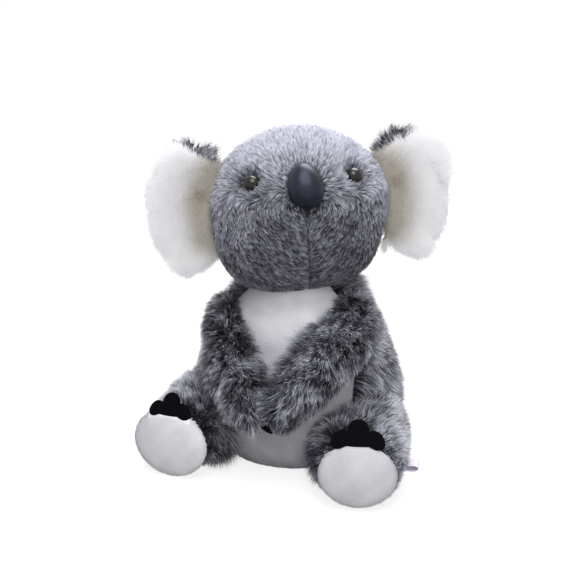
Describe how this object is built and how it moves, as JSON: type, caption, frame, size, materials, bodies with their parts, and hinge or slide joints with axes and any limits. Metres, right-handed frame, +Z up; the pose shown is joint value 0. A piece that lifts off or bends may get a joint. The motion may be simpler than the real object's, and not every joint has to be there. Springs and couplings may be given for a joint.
{
  "type": "plush koala",
  "caption": "Sitting stuffed koala toy with grey pile, fluffy white ears, moulded nose and eyes, felt claws, a pellet seat and sewn joints at neck, ears, arms and legs.",
  "frame": {"origin": "centre of the flat seat that the toy rests on", "axes": "+Z up, -Y out of the chest, +X towards the toy's own left"},
  "size_m": [0.1983, 0.1708, 0.2351],
  "materials": {
    "grey_pile": "matte",
    "white_pile": "matte",
    "ear_pile": "matte",
    "black_felt": "matte",
    "stuffing": "matte",
    "pellet_cloth": "matte",
    "label_ribbon": "satin",
    "nose_plastic": "satin",
    "eye_plastic": "gloss",
    "washer_plastic": "satin"
  },
  "bodies": {
    "torso": {"body_cover": "grey_pile", "chest_panel": "white_pile", "body_stuffing": "stuffing", "pellet_bag": "pellet_cloth"},
    "neck": {"neck_stuffing": "stuffing"},
    "head": {"head_cover": "grey_pile", "head_stuffing": "stuffing", "nose": "nose_plastic", "nose_washer": "washer_plastic", "eye_left": "eye_plastic", "eye_right": "eye_plastic", "eye_washer_left": "washer_plastic", "eye_washer_right": "washer_plastic"},
    "ear_left": {"ear_front_left": "ear_pile", "ear_back_left": "grey_pile"},
    "ear_right": {"ear_front_right": "ear_pile", "ear_back_right": "grey_pile"},
    "arm_left": {"arm_cover_left": "grey_pile", "arm_stuffing_left": "stuffing", "hand_claws_left": "black_felt"},
    "arm_right": {"arm_cover_right": "grey_pile", "arm_stuffing_right": "stuffing", "hand_claws_right": "black_felt"},
    "leg_left": {"leg_cover_left": "grey_pile", "leg_stuffing_left": "stuffing", "foot_pad_left": "white_pile", "toe_claws_left": "black_felt", "care_label": "label_ribbon"},
    "leg_right": {"leg_cover_right": "grey_pile", "leg_stuffing_right": "stuffing", "foot_pad_right": "white_pile", "toe_claws_right": "black_felt"}
  },
  "joints": [
    {"name": "neck_turn", "type": "hinge", "parent": "torso", "child": "neck", "pos_m": [0, 0, 0.11], "axis": [0, 0, 1], "range_deg": [-40, 15], "stiffness_Nm_per_rad": 0.5},
    {"name": "neck_nod", "type": "hinge", "parent": "neck", "child": "head", "pos_m": [0, 0, 0.11], "axis": [0.9135, 0.4067, 0], "range_deg": [-8, 4], "stiffness_Nm_per_rad": 1.5},
    {"name": "ear_left_fold", "type": "hinge", "parent": "head", "child": "ear_left", "pos_m": [0.05811, 0.02201, 0.18729], "axis": [-0.0478, -0.0213, 0.9986], "range_deg": [-12, 18], "stiffness_Nm_per_rad": 0.1},
    {"name": "ear_right_fold", "type": "hinge", "parent": "head", "child": "ear_right", "pos_m": [-0.05684, -0.02917, 0.18069], "axis": [0.0478, 0.0213, -0.9986], "range_deg": [-12, 18], "stiffness_Nm_per_rad": 0.1},
    {"name": "arm_left_open", "type": "hinge", "parent": "torso", "child": "arm_left", "pos_m": [0.05309, -0.00003, 0.097], "axis": [-0.4067, 0, 0.9135], "range_deg": [0, 34], "stiffness_Nm_per_rad": 0.4},
    {"name": "arm_right_open", "type": "hinge", "parent": "torso", "child": "arm_right", "pos_m": [-0.05257, -0.00742, 0.097], "axis": [-0.4067, 0, -0.9135], "range_deg": [0, 34], "stiffness_Nm_per_rad": 0.4},
    {"name": "leg_left_splay", "type": "hinge", "parent": "torso", "child": "leg_left", "pos_m": [0.067, -0.002, 0.0252], "axis": [0, 0, 1], "range_deg": [0, 18], "stiffness_Nm_per_rad": 0.6},
    {"name": "leg_right_splay", "type": "hinge", "parent": "torso", "child": "leg_right", "pos_m": [-0.067, 0.012, 0.0252], "axis": [0, 0, -1], "range_deg": [0, 18], "stiffness_Nm_per_rad": 0.6}
  ]
}
